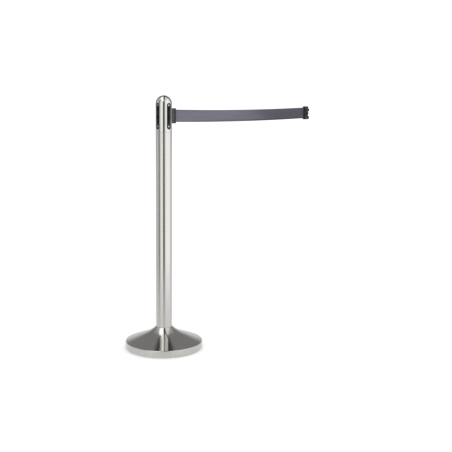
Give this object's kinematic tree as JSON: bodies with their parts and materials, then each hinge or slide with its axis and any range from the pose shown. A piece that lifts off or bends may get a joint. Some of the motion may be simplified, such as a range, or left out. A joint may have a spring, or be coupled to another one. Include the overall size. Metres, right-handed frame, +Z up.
{
  "type": "retractable belt stanchion",
  "caption": "Round weighted stainless post with a domed head holding a spring reel, a slate webbing belt pulled out of its mouth, and a latching end clip.",
  "frame": {"origin": "on the floor, on the axis of the post", "axes": "+Z up along the post; +X along the belt as it is pulled out; the receivers are at +Y, -Y and -X"},
  "size_m": [1.0036, 0.306, 1],
  "materials": {
    "rubber_black": "moulded, matt",
    "cast_iron": "black enamel on a rough casting",
    "polished_cover": "spun and polished stainless steel",
    "polished_head": "mirror-polished stainless steel",
    "satin_tube": "satin stainless steel, fine lengthwise grain",
    "zinc_steel": "zinc-plated steel",
    "plug_steel": "turned steel, oiled",
    "spring_steel": "blued spring steel, oiled",
    "black_plastic": "moulded glass-filled nylon",
    "grey_plastic": "moulded nylon, fine spark texture",
    "white_acetal": "turned acetal",
    "bronze": "sintered bronze",
    "webbing": "woven polyester webbing"
  },
  "bodies": {
    "stand": {"floor_pad": "rubber_black", "base_weight": "cast_iron", "base_cover": "polished_cover", "neck_grommet": "rubber_black", "base_bolt": "zinc_steel", "base_washer": "zinc_steel", "lock_washer": "zinc_steel", "tube_plug": "plug_steel", "post_tube": "satin_tube", "coupling_sleeve": "zinc_steel", "head_shell": "polished_head", "receiver_left": "black_plastic", "receiver_right": "black_plastic", "receiver_rear": "black_plastic", "receiver_screws": "zinc_steel", "reel_housing": "black_plastic", "housing_lid": "black_plastic", "housing_screws": "zinc_steel", "spring_barrel": "black_plastic", "barrel_lid": "black_plastic", "barrel_anchor_pin": "zinc_steel", "mainspring": "spring_steel", "reel_axle": "zinc_steel", "thrust_washer": "white_acetal", "belt_guide": "grey_plastic", "mouth_bezel": "black_plastic", "guide_pins": "zinc_steel", "belt_lead": "webbing"},
    "reel": {"reel_spool": "black_plastic", "lower_bush": "bronze", "upper_bush": "bronze", "belt_roll": "webbing"},
    "left_guide_roller": {"left_roller": "white_acetal"},
    "right_guide_roller": {"right_roller": "white_acetal"},
    "belt_end": {"belt_run": "webbing", "belt_hem": "webbing", "clip_front_shell": "black_plastic", "clip_back_shell": "black_plastic", "clip_bar": "zinc_steel", "hook_lugs": "black_plastic", "clip_screws": "zinc_steel", "lock_spring": "spring_steel"},
    "lock": {"lock_slider": "grey_plastic"}
  },
  "joints": [
    {"name": "belt_pull", "type": "slide", "parent": "stand", "child": "belt_end", "axis": [1, 0, 0], "range_m": [-0.7625, 1.15], "deforming": ["belt_run"]},
    {"name": "reel_spin", "type": "hinge", "parent": "stand", "child": "reel", "pos_m": [0, 0, 0.921], "axis": [0, 0, 1], "range_deg": [-2800, 4220]},
    {"name": "left_roller_spin", "type": "hinge", "parent": "stand", "child": "left_guide_roller", "pos_m": [0.0435, 0.0038, 0.921], "axis": [0, 0, 1], "continuous": true},
    {"name": "right_roller_spin", "type": "hinge", "parent": "stand", "child": "right_guide_roller", "pos_m": [0.0435, -0.00287, 0.921], "axis": [0, 0, 1], "range_deg": [-25350, 16810]},
    {"name": "lock_press", "type": "slide", "parent": "belt_end", "child": "lock", "axis": [-1, 0, 0], "range_m": [0, 0.0035], "stiffness_N_per_m": 400, "springref_m": -0.003, "deforming": ["lock_spring"]}
  ],
  "couplings": [
    {"joint": "reel_spin", "follows": "belt_pull", "rad_per_m": 63.985},
    {"joint": "right_roller_spin", "follows": "belt_pull", "rad_per_m": -384.62}
  ]
}
